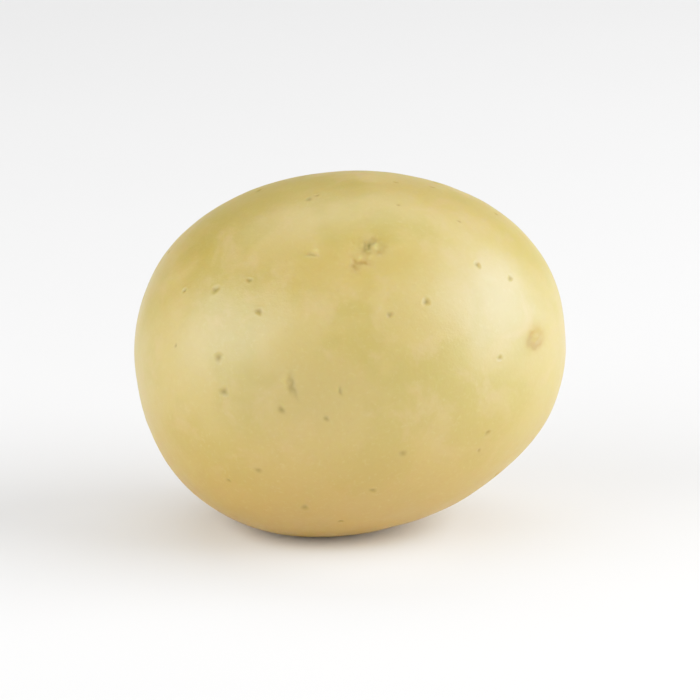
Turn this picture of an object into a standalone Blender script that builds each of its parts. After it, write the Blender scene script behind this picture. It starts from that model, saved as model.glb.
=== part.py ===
"""One small clean-skinned potato, lying on its side: a single closed solid.

+X runs along the potato towards its heel, the end where it hung from the plant's runner,
and +Z is up. The origin is on the surface that the potato lies on, under its middle.
"""
import math

import bmesh
import bpy
import numpy as np
from mathutils import Matrix, Vector

# Body of the potato, in metres and degrees
LENGTH = 0.0467             # along its own long axis
WIDTH = 0.0412              # across it, level
THICKNESS = 0.0386          # across it, upright
LIE_TILT = 10.6             # how much higher the heel end lies
FULLNESS = 0.062            # how far the shoulders fill out beyond an ellipsoid
NEUTRAL_ROUNDNESS = 0.75    # sum of a direction's fourth powers at which they neither fill nor slim
TAPER = 0.056               # how much slimmer the heel end is than the other
REST_CUT = 0.0007           # depth of the flattened patch that it rests on

# Broad swellings and hollows of the skin: longitude, latitude and spread in degrees, height
SWELLINGS = (
    (5.0, 52.0, 22.0, -0.00040),        # flattened shoulder, above the heel end
    (-50.0, -30.0, 24.0, -0.00020),     # flattened flank, front of the heel end
    (-125.0, 12.0, 26.0, 0.00020),      # low cheek, front of the rose end
    (70.0, 25.0, 30.0, 0.00040),        # cheek at the back
    (130.0, -20.0, 24.0, -0.00045),     # hollow flank at the back
)

# The growth axis: the heel scar is a little in front of the +X tip, the rose end opposite
HEEL = (-32.0, 2.0)         # longitude and latitude of the heel scar
SCAR_RADIUS = 0.0017
SCAR_DEPTH = 0.00022

# Eyes wind round the growth axis and crowd towards the rose end. Each one: how far along
# the axis from the heel (-1) to the rose end (+1), degrees round it, and relative size
EYES = (
    (-0.53, 56.0, 0.75),
    (-0.18, 190.0, 1.00),
    (0.22, 242.0, 0.90),
    (0.34, 122.0, 1.00),
    (0.60, 205.0, 1.00),
    (0.86, 52.0, 0.80),
    (0.82, 150.0, 0.85),
    (0.96, 290.0, 0.70),
)
EYE_RADIUS = 0.0030
EYE_DEPTH = 0.00032
EYE_SHAPE = (0.50, 0.75)    # spread of the dimple along and across the growth axis, in radii
BROW_HEIGHT = 0.00014       # the low ridge on the heel side of an eye
BROW_REACH = 0.60           # its distance from the eye's middle, in radii
BROW_WIDTH = 0.20           # spread of the ridge, in radii
MARK_EDGE = 1.5             # past this many radii a mark leaves the skin alone
SCAR_SPREAD = 0.6           # spread of the scar's pit, in scar radii

# Mesh
GRID = 22                   # faces along each side of the cube that is rounded into the skin
MARK_CUTS = 2               # extra cuts in the edges of the faces round an eye or the scar
REFINED_REACH = 1.2         # how far round a mark they are cut, in radii
SNAP = 0.00008              # corners this close to the resting plane are moved onto it
CUT_TOLERANCE = 1e-7        # corners this close to it count as lying on it
NORMAL_STEP = 0.01          # step across the skin, on the unit sphere, that finds its normal
SHARP_ANGLE = 30.0          # edges over this many degrees show sharp
SKIN_COLOUR = (0.66, 0.53, 0.22, 1.0)
SKIN_ROUGHNESS = 0.42


def clear_scene():
    for obj in list(bpy.data.objects):
        bpy.data.objects.remove(obj, do_unlink=True)


def direction(longitude, latitude):
    """Unit vector at a longitude (from +X towards +Y) and a latitude, both in degrees."""
    lon = math.radians(longitude)
    lat = math.radians(latitude)
    return Vector((math.cos(lat) * math.cos(lon), math.cos(lat) * math.sin(lon), math.sin(lat)))


def body_point(unit):
    """The plain skin, without eyes or scar, for a unit vector in the potato's own axes."""
    roundness = sum(c ** 4 for c in unit)
    full = 1.0 - FULLNESS * (roundness - NEUTRAL_ROUNDNESS)
    slim = 1.0 - TAPER * unit.x
    point = Vector((unit.x * LENGTH, unit.y * WIDTH * slim, unit.z * THICKNESS * slim)) * full / 2.0
    for longitude, latitude, spread, height in SWELLINGS:
        away = math.degrees(unit.angle(direction(longitude, latitude)))
        point += unit * height * math.exp(-((away / spread) ** 2))
    return point


def body_normal(unit):
    """Outward normal of the plain skin, from two short steps across it."""
    side = unit.orthogonal().normalized() * NORMAL_STEP
    other = unit.cross(side)
    across = body_point((unit + side).normalized()) - body_point((unit - side).normalized())
    along = body_point((unit + other).normalized()) - body_point((unit - other).normalized())
    return across.cross(along).normalized()


class Mark:
    """A place on the skin with its own flat axes: toward_rose, sideways and outward."""

    def __init__(self, unit, growth_axis, radius):
        self.centre = body_point(unit)
        self.outward = body_normal(unit)
        along = growth_axis - growth_axis.dot(self.outward) * self.outward
        self.toward_rose = along.normalized()
        self.sideways = self.outward.cross(self.toward_rose)
        self.radius = radius

    def flat_place(self, point):
        """Where a point lies from the middle of the mark, in mark radii."""
        offset = (point - self.centre) / self.radius
        return offset.dot(self.toward_rose), offset.dot(self.sideways)


def growth_axis():
    return -direction(*HEEL)


def eye_marks():
    """The eyes' places, from their stations on the spiral round the growth axis."""
    axis = growth_axis()
    front = Vector((0.0, -1.0, 0.0))
    front = (front - front.dot(axis) * axis).normalized()
    upper = axis.cross(front)
    for along, turn, size in EYES:
        angle = math.radians(turn)
        round_axis = front * math.cos(angle) + upper * math.sin(angle)
        unit = axis * along + round_axis * math.sqrt(1.0 - along ** 2)
        yield Mark(unit.normalized(), axis, EYE_RADIUS * size)


def bell(value, spread):
    return math.exp(-((value / spread) ** 2))


def eye_relief(mark, point):
    """Height of the skin at a point near an eye: a shallow dimple with a brow on its heel side."""
    rose, side = mark.flat_place(point)
    distance = math.hypot(rose, side)
    if not 0.0 < distance < MARK_EDGE:
        return 0.0
    dimple = -EYE_DEPTH * bell(rose, EYE_SHAPE[0]) * bell(side, EYE_SHAPE[1])
    heel_side = max(0.0, -rose / distance)
    brow = BROW_HEIGHT * heel_side * bell(distance - BROW_REACH, BROW_WIDTH)
    return (dimple + brow) * mark.radius / EYE_RADIUS


def scar_relief(mark, point):
    """Height of the skin at a point near the heel scar: a small round pit."""
    rose, side = mark.flat_place(point)
    return -SCAR_DEPTH * bell(math.hypot(rose, side), SCAR_SPREAD)


def rounded_cube(grid):
    """A cube of square faces blown up to a unit sphere, with even spacing over its sides."""
    bm = bmesh.new()
    bmesh.ops.create_cube(bm, size=2.0)
    bmesh.ops.subdivide_edges(bm, edges=bm.edges[:], cuts=grid - 1, use_grid_fill=True)
    for vert in bm.verts:
        vert.co = Vector([math.tan(c * math.pi / 4.0) for c in vert.co]).normalized()
    return bm


def refine_round(bm, mark, reach):
    """Cut the faces near a mark smaller, so that they can hold its relief."""
    near = set()
    for face in bm.faces:
        middle = face.calc_center_median().normalized()
        if (body_point(middle) - mark.centre).length < reach:
            near.update(face.edges)
    bmesh.ops.subdivide_edges(bm, edges=list(near), cuts=MARK_CUTS, use_grid_fill=True)
    for vert in bm.verts:
        vert.co.normalize()


def potato_skin():
    """The whole closed skin, centred on the potato's middle and in its own axes."""
    bm = rounded_cube(GRID)
    eyes = list(eye_marks())
    scar = Mark(direction(*HEEL), growth_axis(), SCAR_RADIUS)
    for mark in eyes + [scar]:
        refine_round(bm, mark, mark.radius * REFINED_REACH)
    for vert in bm.verts:
        unit = vert.co.normalized()
        point = body_point(unit)
        height = sum(eye_relief(eye, point) for eye in eyes) + scar_relief(scar, point)
        vert.co = point + body_normal(unit) * height
    return bm


def lay_down(bm):
    """Tilt the potato as it lies, flatten the patch that it rests on and set the origin."""
    bmesh.ops.rotate(bm, verts=bm.verts, matrix=Matrix.Rotation(-math.radians(LIE_TILT), 3, "Y"))
    floor = min(vert.co.z for vert in bm.verts) + REST_CUT
    for vert in bm.verts:
        if abs(vert.co.z - floor) < SNAP:
            vert.co.z = floor
    bmesh.ops.bisect_plane(
        bm,
        geom=bm.verts[:] + bm.edges[:] + bm.faces[:],
        dist=CUT_TOLERANCE,
        plane_co=(0.0, 0.0, floor),
        plane_no=(0.0, 0.0, 1.0),
        clear_inner=True,
    )
    bmesh.ops.edgeloop_fill(bm, edges=[edge for edge in bm.edges if edge.is_boundary])
    corners = np.array([vert.co[:] for vert in bm.verts])
    middle = (corners.min(axis=0) + corners.max(axis=0)) / 2.0
    bmesh.ops.translate(bm, verts=bm.verts, vec=(-middle[0], -middle[1], -floor))
    bmesh.ops.recalc_face_normals(bm, faces=bm.faces[:])


def skin_material():
    material = bpy.data.materials.new("potato_skin")
    material.use_nodes = True
    shader = material.node_tree.nodes["Principled BSDF"]
    shader.inputs["Base Color"].default_value = SKIN_COLOUR
    shader.inputs["Roughness"].default_value = SKIN_ROUGHNESS
    shader.inputs["Metallic"].default_value = 0.0
    return material


def make_potato():
    bm = potato_skin()
    lay_down(bm)
    mesh = bpy.data.meshes.new("potato")
    bm.to_mesh(mesh)
    bm.free()
    mesh.shade_smooth()
    mesh.set_sharp_from_angle(angle=math.radians(SHARP_ANGLE))
    mesh.materials.append(skin_material())
    potato = bpy.data.objects.new("potato", mesh)
    bpy.context.collection.objects.link(potato)
    return potato


clear_scene()
make_potato()
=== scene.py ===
"""Looks of one small clean-skinned potato that lies on its side on a white surface.

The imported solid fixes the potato's place and size. The skin is built again here on the same
formula as the solid, with a mesh fine enough for its eyes, heel scar, freckles and nicks, and
then stretched to the solid's own box. Lengths are in metres unless a comment says mm.
"""
import math

import bmesh
import bpy
import numpy as np
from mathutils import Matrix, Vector


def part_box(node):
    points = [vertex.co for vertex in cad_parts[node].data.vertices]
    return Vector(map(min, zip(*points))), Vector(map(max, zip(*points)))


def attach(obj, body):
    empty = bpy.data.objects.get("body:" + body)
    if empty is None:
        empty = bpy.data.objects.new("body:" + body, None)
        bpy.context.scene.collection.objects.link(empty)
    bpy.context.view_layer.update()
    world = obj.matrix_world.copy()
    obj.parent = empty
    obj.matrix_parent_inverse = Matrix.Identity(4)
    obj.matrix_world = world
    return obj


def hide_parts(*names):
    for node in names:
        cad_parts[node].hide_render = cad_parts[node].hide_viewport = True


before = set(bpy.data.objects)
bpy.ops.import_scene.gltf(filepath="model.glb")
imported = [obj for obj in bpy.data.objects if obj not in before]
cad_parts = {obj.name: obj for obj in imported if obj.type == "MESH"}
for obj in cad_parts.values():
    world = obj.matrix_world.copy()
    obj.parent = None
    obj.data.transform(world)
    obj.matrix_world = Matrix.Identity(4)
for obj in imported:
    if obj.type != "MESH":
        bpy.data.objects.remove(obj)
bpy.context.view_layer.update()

MM = 0.001
SEED = 11
SCAR_SEED = SEED + 90
EYE_SEED = SEED + 100
FRECKLE_SEED = SEED + 200
NICK_SEED = SEED + 400

# Body of the potato, as in the solid
LENGTH = 46.7 * MM
WIDTH = 41.2 * MM
THICKNESS = 38.6 * MM
LIE_TILT = 10.6             # degrees by which the heel end lies higher
FULLNESS = 0.062            # how far the shoulders fill out beyond an ellipsoid
NEUTRAL_ROUNDNESS = 0.75    # sum of a direction's fourth powers at which they neither fill nor slim
TAPER = 0.056               # how much slimmer the heel end is than the other
REST_CUT = 0.7 * MM         # depth of the flattened resting patch
REST_EDGE = 0.12 * MM       # how softly the skin turns into that patch
NORMAL_STEP = 0.01          # step across the skin, on the unit sphere, that finds its normal
NEAR_POLE = 0.9             # a direction whose upright part is larger counts as near a pole

# Broad swellings and hollows: longitude, latitude, spread in degrees, height
SWELLINGS = (
    (5.0, 52.0, 22.0, -0.40 * MM),      # flattened shoulder, above the heel end
    (-50.0, -30.0, 24.0, -0.20 * MM),   # flattened flank, front of the heel end
    (-125.0, 12.0, 26.0, 0.20 * MM),    # low cheek, front of the rose end
    (70.0, 25.0, 30.0, 0.40 * MM),      # cheek at the back
    (130.0, -20.0, 24.0, -0.45 * MM),   # hollow flank at the back
)

# Fine unevenness all over the skin: wavelength, height
UNDULATIONS = (
    (15.0 * MM, 0.045 * MM),
    (6.0 * MM, 0.012 * MM),
    (2.4 * MM, 0.0035 * MM),
)
WAVES = 24                  # waves that make up one random ripple
PITCHES = (0.65, 1.5)       # least and most of their pitch, against the ripple's own

MARK_REACH = 3.0            # a mark touches the skin within this many of its radii

# The heel scar: spreads and distances in scar radii
HEEL = (-32.0, 2.0)         # its longitude and latitude, and so the growth axis
SCAR_RADIUS = 1.6 * MM
SCAR_TURN = -8.0            # degrees that turn its darker side to the front
SCAR_STRETCH = 1.50         # how much longer it is along the growth axis
SCAR_PIT = 0.66             # spread of the pit
SCAR_RIM = (0.56, 0.20)     # distance from the middle and spread of the corky rim
SCAR_HALO = (0.25, 0.75)    # the same of the faint stain round it
SCAR_CORE = 0.20            # spread of the raised middle
SCAR_LEAN = 0.5             # how far the dark side leans across the growth axis
SCAR_SMALLEST = 0.08        # keeps that side's direction finite at the middle
SCAR_RAG = 1.1 * MM         # wavelength of its ragged outline
SCAR_RIM_RAG = 0.035        # how far the rim wanders
SCAR_PIT_RAG = 0.15         # how uneven the pit is
SCAR_PIT_DEPTH = 0.17 * MM
SCAR_RIM_HEIGHT = 0.060 * MM
SCAR_CORE_HEIGHT = 0.07 * MM
SCAR_RAG_HEIGHT = 0.008 * MM
SCAR_PIT_TAN = 0.44         # strengths of its stains, of 1 at most
SCAR_RIM_TAN = (0.095, 0.855)   # all round, and how much more on the dark side
SCAR_HALO_TAN = 0.26
SCAR_RIM_DARK = 0.34
SCAR_DULL = 0.55            # how dull the skin is there

# The eyes on their spiral from the heel (-1) to the rose end (+1):
# how far along, degrees round the growth axis, relative size, twist in degrees
EYES = (
    (-0.53, 56.0, 1.00, -6.0),
    (-0.18, 190.0, 1.00, 10.0),
    (0.22, 242.0, 0.90, -12.0),
    (0.34, 122.0, 1.00, 18.0),
    (0.60, 205.0, 1.00, -8.0),
    (0.86, 52.0, 0.80, 12.0),
    (0.82, 150.0, 0.85, -20.0),
    (0.96, 290.0, 0.70, 0.0),
)
EYE_RADIUS = 3.0 * MM
EYE_DEPTH = 0.26 * MM
EYE_SPREAD = (0.55, 0.85)   # of the dimple, along and across the growth axis, in eye radii
EYE_TAN = 0.20              # strength of the brown tinge in the dimple
EYE_DULL = 0.5              # how dull the skin is there
EYE_WANDER = 0.025          # how far the strokes' outlines wander, in eye radii
EYE_WAVES = (1.5 * MM, 1.1 * MM)    # wavelengths at which they do, along and across
GRIT_WAVE = 0.6 * MM        # wavelength of the fine grit in it
GRIT_HEIGHT = 0.010 * MM
STROKE_GRIT = 0.22          # how unevenly the strokes are filled
STROKE_DULL = 0.6           # how dull a stroke is for its dark and tan

# Creases, ridges and spots inside an eye, in eye radii: place across and along the growth axis,
# half length, half width, turn in degrees; then height in mm and strength of dark, pale and tan.
# The dark is partly painted shade in the creases and on the dimple wall; the pale is painted
# highlight on the ridges and bumps
EYE_STROKES = (
    (-0.44, 0.03, 0.30, 0.150, 16.0, -0.20, 0.68, 0.00, 0.10),      # main crease; its dark is partly painted shade
    (-0.40, 0.12, 0.50, 0.320, 16.0, 0.00, 0.18, 0.00, 0.00),       # painted olive shade round it, on the dimple wall
    (-0.45, -0.21, 0.16, 0.085, -25.0, 0.10, 0.00, 0.50, 0.00),     # short ridge beside it, with a painted highlight
    (-0.28, -0.41, 0.13, 0.115, 0.0, -0.08, 0.26, 0.00, 0.06),      # second, shorter crease; its dark is partly painted shade
    (-0.48, -0.43, 0.26, 0.190, 0.0, 0.00, 0.14, 0.00, 0.04),       # painted shade round it
    (-0.22, -0.05, 0.08, 0.070, 0.0, 0.06, 0.00, 0.36, 0.00),       # bud scale in the middle, with a painted highlight
    (-0.09, -0.09, 0.18, 0.140, 0.0, -0.05, 0.10, 0.00, 0.24),      # corky patch under it
    (0.01, -0.29, 0.09, 0.080, 0.0, 0.04, 0.00, 0.18, 0.00),        # low bump with a painted highlight
    (0.28, 0.07, 0.14, 0.110, 30.0, 0.08, 0.00, 0.36, 0.10),        # bump between the brown spots, with a painted highlight
    (0.49, 0.18, 0.22, 0.150, -25.0, -0.10, 0.20, 0.00, 0.56),      # outer brown spot
    (0.38, -0.08, 0.17, 0.140, 64.0, -0.09, 0.18, 0.00, 0.54),      # inner brown spot
    (0.27, -0.26, 0.17, 0.120, 64.0, -0.03, 0.00, 0.00, 0.26),      # its faint tail
    (0.74, 0.02, 0.19, 0.150, 0.0, -0.04, 0.16, 0.00, 0.22),        # faint end of the eye
    (0.45, 0.04, 0.42, 0.340, 0.0, 0.00, 0.04, 0.00, 0.18),         # stain round the brown spots
)

# Bold freckles on the front, listed one by one: longitude, latitude, radius in mm
BOLD_FRECKLES = (
    (-124.0, 18.0, 0.46), (-123.0, 8.0, 0.46), (-108.0, 1.0, 0.42), (-129.0, 38.0, 0.42),
    (-112.0, 31.0, 0.38), (-117.0, 41.0, 0.32), (-143.0, 37.0, 0.30), (-140.0, 21.0, 0.24),
    (-64.0, 25.0, 0.40), (-75.0, 24.0, 0.32), (-42.0, 31.0, 0.38), (-33.0, 23.0, 0.34),
    (-48.0, 1.0, 0.34), (-79.0, -21.0, 0.40), (-111.0, -35.0, 0.40), (-103.0, -46.0, 0.28),
    (-119.0, -18.0, 0.38), (-130.0, -21.0, 0.26), (-97.0, -4.0, 0.30), (-89.0, -33.0, 0.30),
    (-53.0, -23.0, 0.32), (-55.0, -29.0, 0.26), (-99.0, 74.0, 0.38), (-91.0, 76.0, 0.28),
    (-31.0, 46.0, 0.24), (-46.0, 60.0, 0.22),
)
FRECKLES = 84               # how many in all; the others are scattered
FRONT = (0.0, -1.0, 0.15)   # the side that has only the bold ones
FRONT_EDGE = 0.25           # the others lie less than this far towards it
FRECKLE_RADII = (0.26, 0.46)    # of the others, in mm
FRECKLE_GAP = 3.2 * MM      # least distance between two of them
EYE_CLEARANCE = 1.2         # least distance to an eye, in its radii
SCAR_CLEARANCE = 1.6        # and to the scar, likewise
FRECKLE_DEPTH = 0.085 * MM
FRECKLE_SLIMNESS = (0.75, 1.0)  # range of their width against their length
FRECKLE_STRENGTH = (0.75, 1.0)
FRECKLE_WOBBLES = ((2.0, 0.12), (3.0, 0.08))    # lobes of the outline and how far they go
FRECKLE_PHASE = 6.3         # most by which a lobe is turned, in radians: about a whole turn
FRECKLE_CORE = 0.70         # spread of the pit, in freckle radii
FRECKLE_SKIRT = 1.35        # spread of the shade round it
FRECKLE_LIP = (1.35, 0.40)  # distance and spread of the lip
FRECKLE_LIP_HEIGHT = 0.20   # against the pit's depth
FRECKLE_CORE_DARK = 0.56
FRECKLE_SKIRT_DARK = 0.12
FRECKLE_LIP_PALE = 0.05
FRECKLE_DULL = 0.6

# Small nicks and scuffs in the skin: longitude, latitude, length mm, width mm, turn degrees
NICKS = (
    (-104.0, 8.0, 3.1, 1.15, 96.0),
    (-95.0, 48.0, 1.5, 0.85, 4.0),
    (-92.0, 4.0, 1.1, 0.50, 90.0),
    (62.0, 12.0, 3.0, 0.50, 25.0),
    (118.0, 44.0, 2.2, 0.45, 140.0),
    (170.0, -18.0, 2.6, 0.50, 60.0),
    (20.0, 20.0, 1.6, 0.45, 110.0),
    (95.0, -35.0, 2.0, 0.45, 15.0),
)
NICK_DEPTH = 0.10 * MM
NICK_BEND = (0.20, 0.35)    # how curved it is, and the shift that centres the curve
NICK_RAG = (1.0 * MM, 0.14)     # wavelength of its wandering, and its size in half widths
NICK_SPAN = (0.70, 0.8)     # spread along it, in half lengths, and a power that softens its ends
NICK_GROOVE = 0.60          # spread across the groove, in half widths
NICK_EDGE = (1.15, 0.45, 0.50)  # the lifted edge: how far to one side and back, and its spread
NICK_EDGE_HEIGHT = 0.45     # against the groove's depth
NICK_DARK = 0.46
NICK_PALE = 0.22
NICK_DULL = 0.5

# Faint olive clouds in the skin: longitude, latitude, half length and half width in mm,
# turn in degrees, strength
CLOUDS = (
    (-101.5, 5.0, 9.5, 4.6, -4.0, 0.20),
    (38.0, 32.0, 8.0, 4.5, 30.0, 0.15),
    (121.0, 2.0, 10.0, 5.0, -20.0, 0.15),
    (-168.0, 36.0, 6.5, 4.0, 50.0, 0.12),
)

# Mesh
GRID = 94                   # faces along each side of the cube that is rounded into the skin
MARK_CUTS = 2               # extra cuts in the faces that carry a mark
SMALL_REACH = 2.1           # how far round a small mark they reach, in its radii
LARGE_REACH = (1.05, 0.5 * MM)  # round a large mark: this many radii and this far more
UV_MARGIN = 0.01

# Skin colours, linear
YELLOW = (0.450, 0.328, 0.078)
OLIVE = (0.400, 0.302, 0.050)
PEACH = (0.502, 0.352, 0.130)
CREAM = (0.550, 0.440, 0.175)
# Painted shade: the deeper gold of the underside, standing in for warm bounced light
UNDERSIDE_SHADE_GOLD = (0.410, 0.243, 0.018)
# Dark of the stains: lenticels, nicks, scar rim and olive clouds, and painted shade in the eyes'
# creases and dimples
DARK_AND_SHADE = (0.185, 0.142, 0.008)
# Pale of the stains: lenticel lips and nick edges, and painted highlights on the eyes' ridges and
# bumps
PALE_AND_HIGHLIGHT = (0.620, 0.500, 0.160)
TAN = (0.345, 0.208, 0.026)

# Random patterns in the skin: waves per metre, detail, roughness, distortion
BROAD = (120.0, 2.0, 0.5, 0.4)
PATCHY = (230.0, 4.0, 0.6, 0.6)
FLECKS = (2100.0, 3.0, 0.6, 0.0)
GRAIN = (900.0, 4.0, 0.62, 0.0)
PORES = (4200.0, 2.0, 0.5, 0.0)

# How much of a colour is mixed in: two values of a pattern, and the share at each
OLIVE_SHARE = (0.41, 0.60, 0.0, 0.95)       # by the broad pattern
PEACH_SHARE = (0.48, 0.72, 0.0, 0.62)       # by the patchy one
CREAM_SHARE = (0.52, 0.80, 0.0, 0.22)       # by the flecks
TAN_SHARE = (0.45, 0.22, 0.0, 0.14)         # by the flecks, the other way
UNDERSIDE_SHADE_SHARE = (0.0, 21.0 * MM, 0.95, 0.0)    # by height: painted shade, a deeper gold towards the underside that stands in for warm bounced light

# Gloss and fine relief
SKIN_ROUGHNESS = (0.3, 0.75, 0.43, 0.54)    # two values of the patchy pattern, roughness at each
MARK_ROUGHNESS = 0.45                       # how much rougher the dullest mark is
GRAIN_BUMP = (0.55, 0.05 * MM)          # strength and depth
PORE_BUMP = (0.45, 0.02 * MM)
SKIN_SHADER = {
    "Subsurface Weight": 0.70,
    "Subsurface Radius": (1.0, 0.50, 0.14),
    "Subsurface Scale": 3.0 * MM,
    "Specular IOR Level": 1.0,
    "Coat Weight": 0.12,
    "Coat Roughness": 0.38,
}

# Floor
FLOOR_HALF = 0.55
FLOOR_CLOUDS = (14.0, 3.0, 0.55, 0.0)   # a random pattern, as in the skin, between these two:
FLOOR_WHITE = (0.85, 0.85, 0.85)
FLOOR_WHITER = (0.88, 0.88, 0.88)
FLOOR_SHADER = {
    "Roughness": 0.85,
    "Specular IOR Level": 0.1,
}

# Softboxes: azimuth from the camera's side and elevation in degrees, distance, width and
# height, power in watts, and how far behind the potato each one aims
SOFTBOXES = {
    "left_box": (-62.0, 25.0, 0.50, (0.56, 0.40), 3.0, 0.0),
    "right_box": (85.0, 25.0, 0.50, (0.56, 0.44), 4.85, 0.0),
    "front_box": (8.0, 36.0, 0.90, (1.00, 0.60), 1.9, 0.0),
    "floor_box": (180.0, 78.0, 0.80, (1.00, 0.50), 3.6, 0.30),
}

# Surroundings: a pale wall behind the floor all round, which fades into dim white higher up.
# The sines of the elevations between which it fades, and the strengths of wall and dim white
TENT_FADE = (0.06, 0.25, 0.92, 0.09)

# Soft shoulder of the picture's tones: scene light against shown light
SHOULDER = ((0.0, 0.0), (0.45, 0.45), (0.70, 0.660), (0.95, 0.814), (1.20, 0.930), (1.40, 1.0))

CAMERA_ELEVATION = 15.0
CAMERA_DISTANCE = 0.60
CAMERA_LENS = 290.0
CAMERA_SENSOR = 36.0
CAMERA_CLIP = 0.01


def direction(longitude, latitude):
    """Unit vector at a longitude (from +X towards +Y) and a latitude, both in degrees."""
    lon = math.radians(longitude)
    lat = math.radians(latitude)
    return np.array([math.cos(lat) * math.cos(lon), math.cos(lat) * math.sin(lon), math.sin(lat)])


def unit_rows(vectors):
    return vectors / np.linalg.norm(vectors, axis=-1, keepdims=True)


def bell(value, spread):
    return np.exp(-((value / spread) ** 2))


def body_points(units):
    """The plain skin for unit vectors in the potato's own axes."""
    full = 1.0 - FULLNESS * ((units ** 4).sum(axis=1) - NEUTRAL_ROUNDNESS)
    slim = 1.0 - TAPER * units[:, 0]
    across = np.stack([np.ones_like(slim), slim, slim], axis=1)
    points = units * np.array([LENGTH, WIDTH, THICKNESS]) / 2.0 * across * full[:, None]
    for longitude, latitude, spread, height in SWELLINGS:
        away = np.degrees(np.arccos(np.clip(units @ direction(longitude, latitude), -1.0, 1.0)))
        points += units * (height * bell(away, spread))[:, None]
    return points


def step_across(units, step):
    """From one side of each direction to the other, over the plain skin."""
    return body_points(unit_rows(units + step)) - body_points(unit_rows(units - step))


def body_normals(units):
    """Outward normals of the plain skin, from short steps across it."""
    helper = np.where(np.abs(units[:, 2:]) < NEAR_POLE, [[0.0, 0.0, 1.0]], [[1.0, 0.0, 0.0]])
    side = unit_rows(np.cross(helper, units))
    other = np.cross(units, side)
    across = step_across(units, side * NORMAL_STEP)
    along = step_across(units, other * NORMAL_STEP)
    return unit_rows(np.cross(across, along))


def ripple(points, wavelength, seed):
    """Smooth random field of about unit strength: waves of about one length, in all directions."""
    rng = np.random.default_rng(seed)
    heading = unit_rows(rng.normal(size=(WAVES, 3)))
    pitch = 2.0 * math.pi / wavelength * rng.uniform(*PITCHES, size=WAVES)
    phase = rng.uniform(0.0, 2.0 * math.pi, size=WAVES)
    waves = np.cos(points @ (heading * pitch[:, None]).T + phase)
    return waves.sum(axis=1) * math.sqrt(2.0 / WAVES)


class Mark:
    """A place on the skin with two flat axes, which its twist turns.

    Without a twist the first one points to the rose end and the second across.
    """

    def __init__(self, unit, radius, twist):
        self.centre = body_points(unit[None])[0]
        self.outward = body_normals(unit[None])[0]
        axis = -direction(*HEEL)
        along = axis - (axis @ self.outward) * self.outward
        along /= np.linalg.norm(along)
        across = np.cross(self.outward, along)
        turn = math.radians(twist)
        self.first = along * math.cos(turn) + across * math.sin(turn)
        self.second = np.cross(self.outward, self.first)
        self.radius = radius

    def place(self, points):
        """Rows near the mark, and where they lie from its middle in mark radii."""
        offset = (points - self.centre) / self.radius
        near = np.flatnonzero((offset ** 2).sum(axis=1) < MARK_REACH ** 2)
        return near, offset[near] @ self.first, offset[near] @ self.second

    def clears(self, centre, gap):
        return np.linalg.norm(centre - self.centre) > gap


def eye_marks():
    axis = -direction(*HEEL)
    front = np.array([0.0, -1.0, 0.0])
    front = unit_rows(front - (front @ axis) * axis)
    upper = np.cross(axis, front)
    for along, turn, size, twist in EYES:
        angle = math.radians(turn)
        around = front * math.cos(angle) + upper * math.sin(angle)
        unit = unit_rows(axis * along + around * math.sqrt(1.0 - along ** 2))
        yield Mark(unit, EYE_RADIUS * size, twist)


def freckle_marks(eyes, scar):
    """Freckles: the bold front ones as listed, the rest scattered clear of each other."""
    rng = np.random.default_rng(SEED)
    marks = [
        Mark(direction(longitude, latitude), radius * MM, rng.uniform(0.0, 180.0))
        for longitude, latitude, radius in BOLD_FRECKLES
    ]
    front = np.array(FRONT)
    while len(marks) < FRECKLES:
        unit = unit_rows(rng.normal(size=3))
        radius = rng.uniform(*FRECKLE_RADII) * MM
        twist = rng.uniform(0.0, 180.0)
        if unit @ front > FRONT_EDGE:
            continue
        mark = Mark(unit, radius, twist)
        clear = all(other.clears(mark.centre, FRECKLE_GAP) for other in marks)
        clear = clear and all(eye.clears(mark.centre, eye.radius * EYE_CLEARANCE) for eye in eyes)
        clear = clear and scar.clears(mark.centre, scar.radius * SCAR_CLEARANCE)
        if clear:
            marks.append(mark)
    return marks


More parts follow.
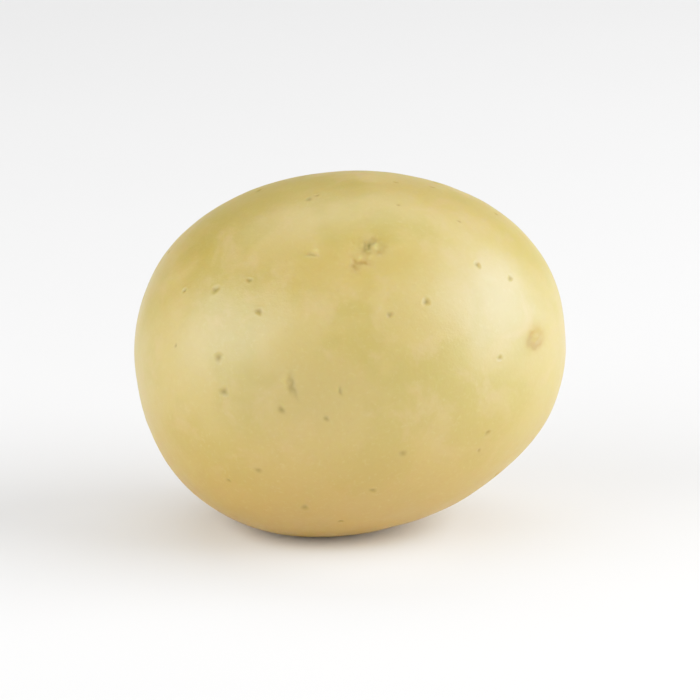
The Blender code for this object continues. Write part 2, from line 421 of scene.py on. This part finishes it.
class Skin:
    """Height, stains, painted shade and painted highlights of the skin, gathered mark by mark over
    all its points.
    """

    def __init__(self, points):
        self.points = points
        self.height = np.zeros(len(points))
        self.dark_and_shade = np.zeros(len(points))
        self.pale_and_highlight = np.zeros(len(points))
        self.tan = np.zeros(len(points))
        self.rough = np.zeros(len(points))

    def undulate(self):
        for row, (wavelength, height) in enumerate(UNDULATIONS):
            self.height += height * ripple(self.points, wavelength, SEED + 1 + row)

    def eye(self, mark, seed):
        """A shallow ragged dimple that holds the creases, ridges and brown spots of an eye, with
        painted shade in the creases and on the dimple wall, and painted highlights on the ridges
        and bumps.
        """
        near, rose, side = mark.place(self.points)
        size = mark.radius / EYE_RADIUS
        spot = self.points[near]
        grit = ripple(spot, GRIT_WAVE, seed + 1)
        rose = rose + EYE_WANDER * ripple(spot, EYE_WAVES[0], seed)
        side = side + EYE_WANDER * ripple(spot, EYE_WAVES[1], seed + 2)
        dimple = bell(rose, EYE_SPREAD[0]) * bell(side, EYE_SPREAD[1])
        self.height[near] += size * dimple * (GRIT_HEIGHT * grit - EYE_DEPTH)
        self.tan[near] += EYE_TAN * dimple
        self.rough[near] += EYE_DULL * dimple
        for at_side, at_rose, long, wide, turn, height, dark_and_shade, pale_and_highlight, tan in EYE_STROKES:
            cos = math.cos(math.radians(turn))
            sin = math.sin(math.radians(turn))
            along = (side - at_side) * cos + (rose - at_rose) * sin
            across = (rose - at_rose) * cos - (side - at_side) * sin
            stroke = bell(along, long) * bell(across, wide) * (1.0 + STROKE_GRIT * grit)
            self.height[near] += size * MM * height * stroke
            # dark: partly painted shade in the creases and on the dimple wall; pale: painted
            # highlight on the ridges and bumps
            self.dark_and_shade[near] += dark_and_shade * stroke
            self.pale_and_highlight[near] += pale_and_highlight * stroke
            self.tan[near] += tan * stroke
            self.rough[near] += STROKE_DULL * (dark_and_shade + tan) * stroke

    def heel_scar(self, mark):
        """A small oval pit with a low corky rim, tan and darkest on one side."""
        near, first, second = mark.place(self.points)
        away = np.hypot(first / SCAR_STRETCH, second)
        rag = ripple(self.points[near], SCAR_RAG, SCAR_SEED)
        rim = bell(away - SCAR_RIM[0] - SCAR_RIM_RAG * rag, SCAR_RIM[1])
        lean = (first + SCAR_LEAN * second) / np.maximum(away, SCAR_SMALLEST)
        one_side = 0.5 + 0.5 * np.clip(lean, -1.0, 1.0)
        pit = bell(away, SCAR_PIT) * (1.0 - SCAR_PIT_RAG + SCAR_PIT_RAG * rag)
        halo = bell(away - SCAR_HALO[0], SCAR_HALO[1])
        core = bell(away, SCAR_CORE)
        self.height[near] += SCAR_RIM_HEIGHT * rim - SCAR_PIT_DEPTH * pit
        self.height[near] += SCAR_CORE_HEIGHT * core + SCAR_RAG_HEIGHT * rag * halo
        rim_tan = rim * (SCAR_RIM_TAN[0] + SCAR_RIM_TAN[1] * one_side)
        self.tan[near] += SCAR_PIT_TAN * pit + rim_tan + SCAR_HALO_TAN * halo
        self.dark_and_shade[near] += SCAR_RIM_DARK * rim * one_side ** 2
        self.rough[near] += SCAR_DULL * halo

    def freckle(self, mark, seed):
        """A lenticel: a tiny dark pit with a hardly paler lip."""
        near, first, second = mark.place(self.points)
        rng = np.random.default_rng(seed)
        first = first * rng.uniform(*FRECKLE_SLIMNESS)
        turn = np.arctan2(second, first)
        wobble = 1.0
        for lobes, size in FRECKLE_WOBBLES:
            wobble = wobble + size * np.sin(lobes * turn + rng.uniform(0.0, FRECKLE_PHASE))
        away = np.hypot(first, second) * wobble
        strength = rng.uniform(*FRECKLE_STRENGTH)
        core = bell(away, FRECKLE_CORE)
        skirt = bell(away, FRECKLE_SKIRT)
        lip = bell(away - FRECKLE_LIP[0], FRECKLE_LIP[1])
        self.height[near] += FRECKLE_DEPTH * strength * (FRECKLE_LIP_HEIGHT * lip - core)
        self.dark_and_shade[near] += strength * (FRECKLE_CORE_DARK * core + FRECKLE_SKIRT_DARK * skirt)
        self.pale_and_highlight[near] += FRECKLE_LIP_PALE * strength * lip
        self.rough[near] += FRECKLE_DULL * core

    def nick(self, mark, slim, seed):
        """A short curved scuff, shallow and dull, with one slightly lifted edge."""
        near, along, across = mark.place(self.points)
        rag = ripple(self.points[near], NICK_RAG[0], seed)
        bend = NICK_BEND[0] * (along ** 2 - NICK_BEND[1])
        line = (across - bend) / slim + NICK_RAG[1] * rag
        span = bell(along, NICK_SPAN[0]) ** NICK_SPAN[1]
        groove = bell(line, NICK_GROOVE) * span
        edge = bell(line + NICK_EDGE[0], NICK_EDGE[2]) * bell(along + NICK_EDGE[1], NICK_EDGE[2])
        self.height[near] += NICK_DEPTH * (NICK_EDGE_HEIGHT * edge - groove)
        self.dark_and_shade[near] += NICK_DARK * groove
        self.pale_and_highlight[near] += NICK_PALE * edge
        self.rough[near] += NICK_DULL * np.clip(groove + edge, 0.0, 1.0)

    def cloud(self, mark, slim, strength):
        """A soft patch of darker, greener skin."""
        near, along, across = mark.place(self.points)
        self.dark_and_shade[near] += strength * bell(along, 1.0) * bell(across, slim)

    def stains_and_painted_light(self):
        columns = [self.dark_and_shade, self.pale_and_highlight, self.tan, self.rough]
        return np.clip(np.stack(columns, axis=1), 0.0, 1.0)


def cube_lattice(grid):
    """Corners and square faces of a cube's surface, each corner once, from -1 to 1."""
    steps = np.arange(grid + 1)
    first, second = np.meshgrid(steps, steps, indexing="ij")
    corners = []
    quads = []
    for axis in range(3):
        for end in (0, grid):
            sheet = np.zeros((grid + 1, grid + 1, 3), int)
            sheet[..., axis] = end
            sheet[..., (axis + 1) % 3] = first
            sheet[..., (axis + 2) % 3] = second
            index = np.arange(first.size).reshape(first.shape) + len(corners) * first.size
            loop = [index[:-1, :-1], index[1:, :-1], index[1:, 1:], index[:-1, 1:]]
            if end == 0:
                loop.reverse()
            quads.append(np.stack(loop, axis=-1).reshape(-1, 4))
            corners.append(sheet.reshape(-1, 3))
    places, shared = np.unique(np.concatenate(corners), axis=0, return_inverse=True)
    return places * 2.0 / grid - 1.0, shared.reshape(-1)[np.concatenate(quads)]


def fine_sphere(marks):
    """The rounded cube as a mesh, with its faces cut smaller wherever a mark sits."""
    corners, quads = cube_lattice(GRID)
    units = unit_rows(np.tan(corners * math.pi / 4.0))
    mesh = bpy.data.meshes.new("potato_skin")
    mesh.from_pydata(units.tolist(), [], quads.tolist())
    middles = body_points(unit_rows(units[quads].mean(axis=1)))
    marked = np.zeros(len(quads), bool)
    for mark in marks:
        reach = min(mark.radius * SMALL_REACH, mark.radius * LARGE_REACH[0] + LARGE_REACH[1])
        marked |= ((middles - mark.centre) ** 2).sum(axis=1) < reach ** 2
    bm = bmesh.new()
    bm.from_mesh(mesh)
    bm.faces.ensure_lookup_table()
    edges = {edge for row in np.flatnonzero(marked) for edge in bm.faces[row].edges}
    bmesh.ops.subdivide_edges(bm, edges=list(edges), cuts=MARK_CUTS, use_grid_fill=True)
    bm.to_mesh(mesh)
    bm.free()
    return mesh


def read_points(mesh):
    flat = np.empty(len(mesh.vertices) * 3)
    mesh.vertices.foreach_get("co", flat)
    return flat.reshape(-1, 3)


def write_points(mesh, points):
    mesh.vertices.foreach_set("co", points.astype(np.float32).ravel())
    mesh.update()


def lay_down(points):
    """Tilt the potato as it lies and flatten its resting patch, at height zero."""
    tilt = math.radians(LIE_TILT)
    x = points[:, 0] * math.cos(tilt) - points[:, 2] * math.sin(tilt)
    z = points[:, 0] * math.sin(tilt) + points[:, 2] * math.cos(tilt)
    above = z - z.min() - REST_CUT
    z = (above + np.sqrt(above ** 2 + REST_EDGE ** 2)) / 2.0
    return np.stack([x, points[:, 1], z], axis=1)


def fill_box(points, low, high):
    """Move and slightly stretch the points so that they fill the solid's box."""
    own_low = points.min(axis=0)
    own_high = points.max(axis=0)
    low = np.array(low)
    return low + (points - own_low) * (np.array(high) - low) / (own_high - own_low)


def add_bake_map(mesh, units):
    """One flat map for the skin: the six sides of the rounded cube in two rows of three."""
    starts = np.empty(len(mesh.polygons), int)
    totals = np.empty(len(mesh.polygons), int)
    corner = np.empty(len(mesh.loops), int)
    mesh.polygons.foreach_get("loop_start", starts)
    mesh.polygons.foreach_get("loop_total", totals)
    mesh.loops.foreach_get("vertex_index", corner)
    owner = np.repeat(np.arange(len(starts)), totals)
    middle = np.add.reduceat(units[corner], starts, axis=0) / totals[:, None]
    axis = np.abs(middle).argmax(axis=1)
    positive = np.take_along_axis(middle, axis[:, None], 1)[:, 0] > 0
    axis = axis[owner]
    positive = positive[owner]
    rows = np.arange(len(corner))
    where = units[corner]
    depth = np.abs(where[rows, axis])
    flat = np.stack([where[rows, (axis + 1) % 3], where[rows, (axis + 2) % 3]], axis=1)
    flat = np.arctan(flat / depth[:, None]) * 2.0 / math.pi + 0.5
    flat[:, 0] = np.where(positive, flat[:, 0], 1.0 - flat[:, 0])
    flat = UV_MARGIN + flat * (1.0 - 2.0 * UV_MARGIN)
    places = np.stack([(axis + flat[:, 0]) / 3.0, (positive + flat[:, 1]) / 2.0], axis=1)
    mesh.uv_layers.new(name="OFBake")
    mesh.uv_layers["OFBake"].data.foreach_set("uv", places.astype(np.float32).ravel())


def make_potato(low, high):
    eyes = list(eye_marks())
    scar = Mark(direction(*HEEL), SCAR_RADIUS, SCAR_TURN)
    freckles = freckle_marks(eyes, scar)
    nicks = [
        (Mark(direction(longitude, latitude), length * MM / 2.0, turn), width / length)
        for longitude, latitude, length, width, turn in NICKS
    ]
    mesh = fine_sphere([*eyes, scar, *freckles, *[mark for mark, _ in nicks]])
    units = unit_rows(read_points(mesh))
    skin = Skin(body_points(units))
    skin.undulate()
    for row, mark in enumerate(eyes):
        skin.eye(mark, EYE_SEED + 2 * row)
    skin.heel_scar(scar)
    for row, mark in enumerate(freckles):
        skin.freckle(mark, FRECKLE_SEED + row)
    for row, (mark, slim) in enumerate(nicks):
        skin.nick(mark, slim, NICK_SEED + row)
    for longitude, latitude, length, width, turn, strength in CLOUDS:
        mark = Mark(direction(longitude, latitude), length * MM, turn)
        skin.cloud(mark, width / length, strength)
    points = skin.points + body_normals(units) * skin.height[:, None]
    write_points(mesh, fill_box(lay_down(points), low, high))
    add_bake_map(mesh, units)
    stains_and_painted_light = mesh.color_attributes.new(name="stains_and_painted_light", type="FLOAT_COLOR", domain="POINT")
    stains_and_painted_light.data.foreach_set("color", skin.stains_and_painted_light().astype(np.float32).ravel())
    mesh.shade_smooth()
    potato = bpy.data.objects.new("potato_skin", mesh)
    bpy.context.scene.collection.objects.link(potato)
    return potato


def set_range(node, numbers):
    """Set a Map Range node: two values that come in, and what each of them becomes."""
    names = ("From Min", "From Max", "To Min", "To Max")
    for name, number in zip(names, numbers):
        node.inputs[name].default_value = number


class Nodes:
    """Short names for building one material's node tree."""

    def __init__(self, name):
        self.material = bpy.data.materials.new(name)
        self.material.use_nodes = True
        self.tree = self.material.node_tree
        self.shader = self.tree.nodes["Principled BSDF"]

    def add(self, kind, **settings):
        node = self.tree.nodes.new(kind)
        for key, value in settings.items():
            setattr(node, key, value)
        return node

    def link(self, source, target):
        self.tree.links.new(source, target)

    def set_shader(self, settings):
        for name, value in settings.items():
            self.shader.inputs[name].default_value = value

    def noise(self, place, pattern):
        node = self.add("ShaderNodeTexNoise")
        for name, number in zip(("Scale", "Detail", "Roughness", "Distortion"), pattern):
            node.inputs[name].default_value = number
        self.link(place, node.inputs["Vector"])
        return node.outputs["Fac"]

    def remap(self, value, numbers):
        node = self.add("ShaderNodeMapRange", interpolation_type="SMOOTHSTEP")
        set_range(node, numbers)
        self.link(value, node.inputs["Value"])
        return node.outputs["Result"]

    def mix(self, factor, first, second):
        """Blend of two colours, each a socket or a fixed colour."""
        node = self.add("ShaderNodeMix", data_type="RGBA")
        self.link(factor, node.inputs["Factor"])
        for name, value in (("A", first), ("B", second)):
            socket = next(s for s in node.inputs if s.name == name and s.type == "RGBA")
            if isinstance(value, tuple):
                socket.default_value = (*value, 1.0)
            else:
                self.link(value, socket)
        return next(s for s in node.outputs if s.type == "RGBA")

    def bump(self, height, size):
        node = self.add("ShaderNodeBump")
        node.inputs["Strength"].default_value = size[0]
        node.inputs["Distance"].default_value = size[1]
        self.link(height, node.inputs["Height"])
        return node


def skin_material():
    n = Nodes("potato_skin")
    place = n.add("ShaderNodeTexCoord").outputs["Object"]
    height = n.add("ShaderNodeSeparateXYZ")
    n.link(place, height.inputs["Vector"])
    stains_and_light_node = n.add("ShaderNodeVertexColor", layer_name="stains_and_painted_light")
    split = n.add("ShaderNodeSeparateColor")
    n.link(stains_and_light_node.outputs["Color"], split.inputs["Color"])

    patchy = n.noise(place, PATCHY)
    flecks = n.noise(place, FLECKS)
    colour = n.mix(n.remap(n.noise(place, BROAD), OLIVE_SHARE), YELLOW, OLIVE)
    colour = n.mix(n.remap(patchy, PEACH_SHARE), colour, PEACH)
    # painted shade: a deeper gold towards the underside
    colour = n.mix(n.remap(height.outputs["Z"], UNDERSIDE_SHADE_SHARE), colour, UNDERSIDE_SHADE_GOLD)
    colour = n.mix(n.remap(flecks, CREAM_SHARE), colour, CREAM)
    colour = n.mix(n.remap(flecks, TAN_SHARE), colour, TAN)
    colour = n.mix(split.outputs["Blue"], colour, TAN)
    # pale lips and edges, and painted highlights on the eyes' ridges and bumps
    colour = n.mix(split.outputs["Green"], colour, PALE_AND_HIGHLIGHT)
    # dark stains, and painted shade in the eyes' creases and dimples
    colour = n.mix(split.outputs["Red"], colour, DARK_AND_SHADE)
    n.link(colour, n.shader.inputs["Base Color"])

    rough = n.add("ShaderNodeMath", operation="MULTIPLY_ADD")
    n.link(stains_and_light_node.outputs["Alpha"], rough.inputs[0])
    rough.inputs[1].default_value = MARK_ROUGHNESS
    n.link(n.remap(patchy, SKIN_ROUGHNESS), rough.inputs[2])
    n.link(rough.outputs["Value"], n.shader.inputs["Roughness"])

    pebbles = n.bump(n.noise(place, GRAIN), GRAIN_BUMP)
    pores = n.bump(n.noise(place, PORES), PORE_BUMP)
    n.link(pebbles.outputs["Normal"], pores.inputs["Normal"])
    n.link(pores.outputs["Normal"], n.shader.inputs["Normal"])
    n.set_shader(SKIN_SHADER)
    return n.material


def floor_material():
    n = Nodes("white_floor")
    place = n.add("ShaderNodeTexCoord").outputs["Object"]
    colour = n.mix(n.noise(place, FLOOR_CLOUDS), FLOOR_WHITE, FLOOR_WHITER)
    n.link(colour, n.shader.inputs["Base Color"])
    n.set_shader(FLOOR_SHADER)
    return n.material


def make_floor():
    mesh = bpy.data.meshes.new("floor")
    corners = [
        (-FLOOR_HALF, -FLOOR_HALF, 0.0),
        (FLOOR_HALF, -FLOOR_HALF, 0.0),
        (FLOOR_HALF, FLOOR_HALF, 0.0),
        (-FLOOR_HALF, FLOOR_HALF, 0.0),
    ]
    mesh.from_pydata(corners, [], [(0, 1, 2, 3)])
    mesh.materials.append(floor_material())
    floor = bpy.data.objects.new("floor", mesh)
    bpy.context.scene.collection.objects.link(floor)


def back_vector(azimuth, elevation):
    """From the potato towards a viewer at this azimuth and elevation in degrees."""
    az = math.radians(azimuth)
    el = math.radians(elevation)
    return Vector((math.sin(az) * math.cos(el), -math.cos(az) * math.cos(el), math.sin(el)))


def aim(obj, target, azimuth, elevation, distance):
    """Add a light or the camera to the scene, at a distance from the target and facing it."""
    back = back_vector(azimuth, elevation)
    obj.location = target + back * distance
    obj.rotation_mode = "QUATERNION"
    obj.rotation_quaternion = (-back).to_track_quat("-Z", "Y")
    bpy.context.scene.collection.objects.link(obj)


def make_lights(target):
    """Rectangular soft lights round the potato. Azimuth 0 is the camera's side."""
    for name, (azimuth, elevation, distance, size, power, behind) in SOFTBOXES.items():
        lamp = bpy.data.lights.new(name, "AREA")
        lamp.shape = "RECTANGLE"
        lamp.size = size[0]
        lamp.size_y = size[1]
        lamp.energy = power
        light = bpy.data.objects.new(name, lamp)
        aim(light, target + Vector((0.0, behind, 0.0)), azimuth, elevation, distance)


def make_world():
    world = bpy.data.worlds.new("white_tent")
    world.use_nodes = True
    nodes = world.node_tree.nodes
    place = nodes.new("ShaderNodeTexCoord")
    split = nodes.new("ShaderNodeSeparateXYZ")
    size = nodes.new("ShaderNodeMath")
    size.operation = "ABSOLUTE"
    fade = nodes.new("ShaderNodeMapRange")
    fade.interpolation_type = "SMOOTHSTEP"
    set_range(fade, TENT_FADE)
    links = world.node_tree.links
    links.new(place.outputs["Generated"], split.inputs["Vector"])
    links.new(split.outputs["Z"], size.inputs[0])
    links.new(size.outputs["Value"], fade.inputs["Value"])
    links.new(fade.outputs["Result"], nodes["Background"].inputs["Strength"])
    nodes["Background"].inputs["Color"].default_value = (1.0, 1.0, 1.0, 1.0)
    bpy.context.scene.world = world


def soften_highlights():
    """Let bright skin turn creamy instead of clipping, as a camera does."""
    settings = bpy.context.scene.view_settings
    settings.view_transform = "Standard"
    settings.use_curve_mapping = True
    curves = settings.curve_mapping
    top = SHOULDER[-1][0]
    curves.white_level = (top, top, top)
    combined = curves.curves[3]
    for light, shown in SHOULDER[1:-1]:
        combined.points.new(light / top, shown)
    curves.update()


def make_camera(target):
    lens = bpy.data.cameras.new("camera")
    lens.lens = CAMERA_LENS
    lens.sensor_width = CAMERA_SENSOR
    lens.clip_start = CAMERA_CLIP
    camera = bpy.data.objects.new("camera", lens)
    aim(camera, target, 0.0, CAMERA_ELEVATION, CAMERA_DISTANCE)
    bpy.context.scene.camera = camera


low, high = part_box("potato")
middle = (low + high) / 2.0
potato = make_potato(low, high)
potato.data.materials.append(skin_material())
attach(potato, "root")
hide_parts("potato")
make_floor()
make_lights(middle)
make_world()
soften_highlights()
make_camera(middle)
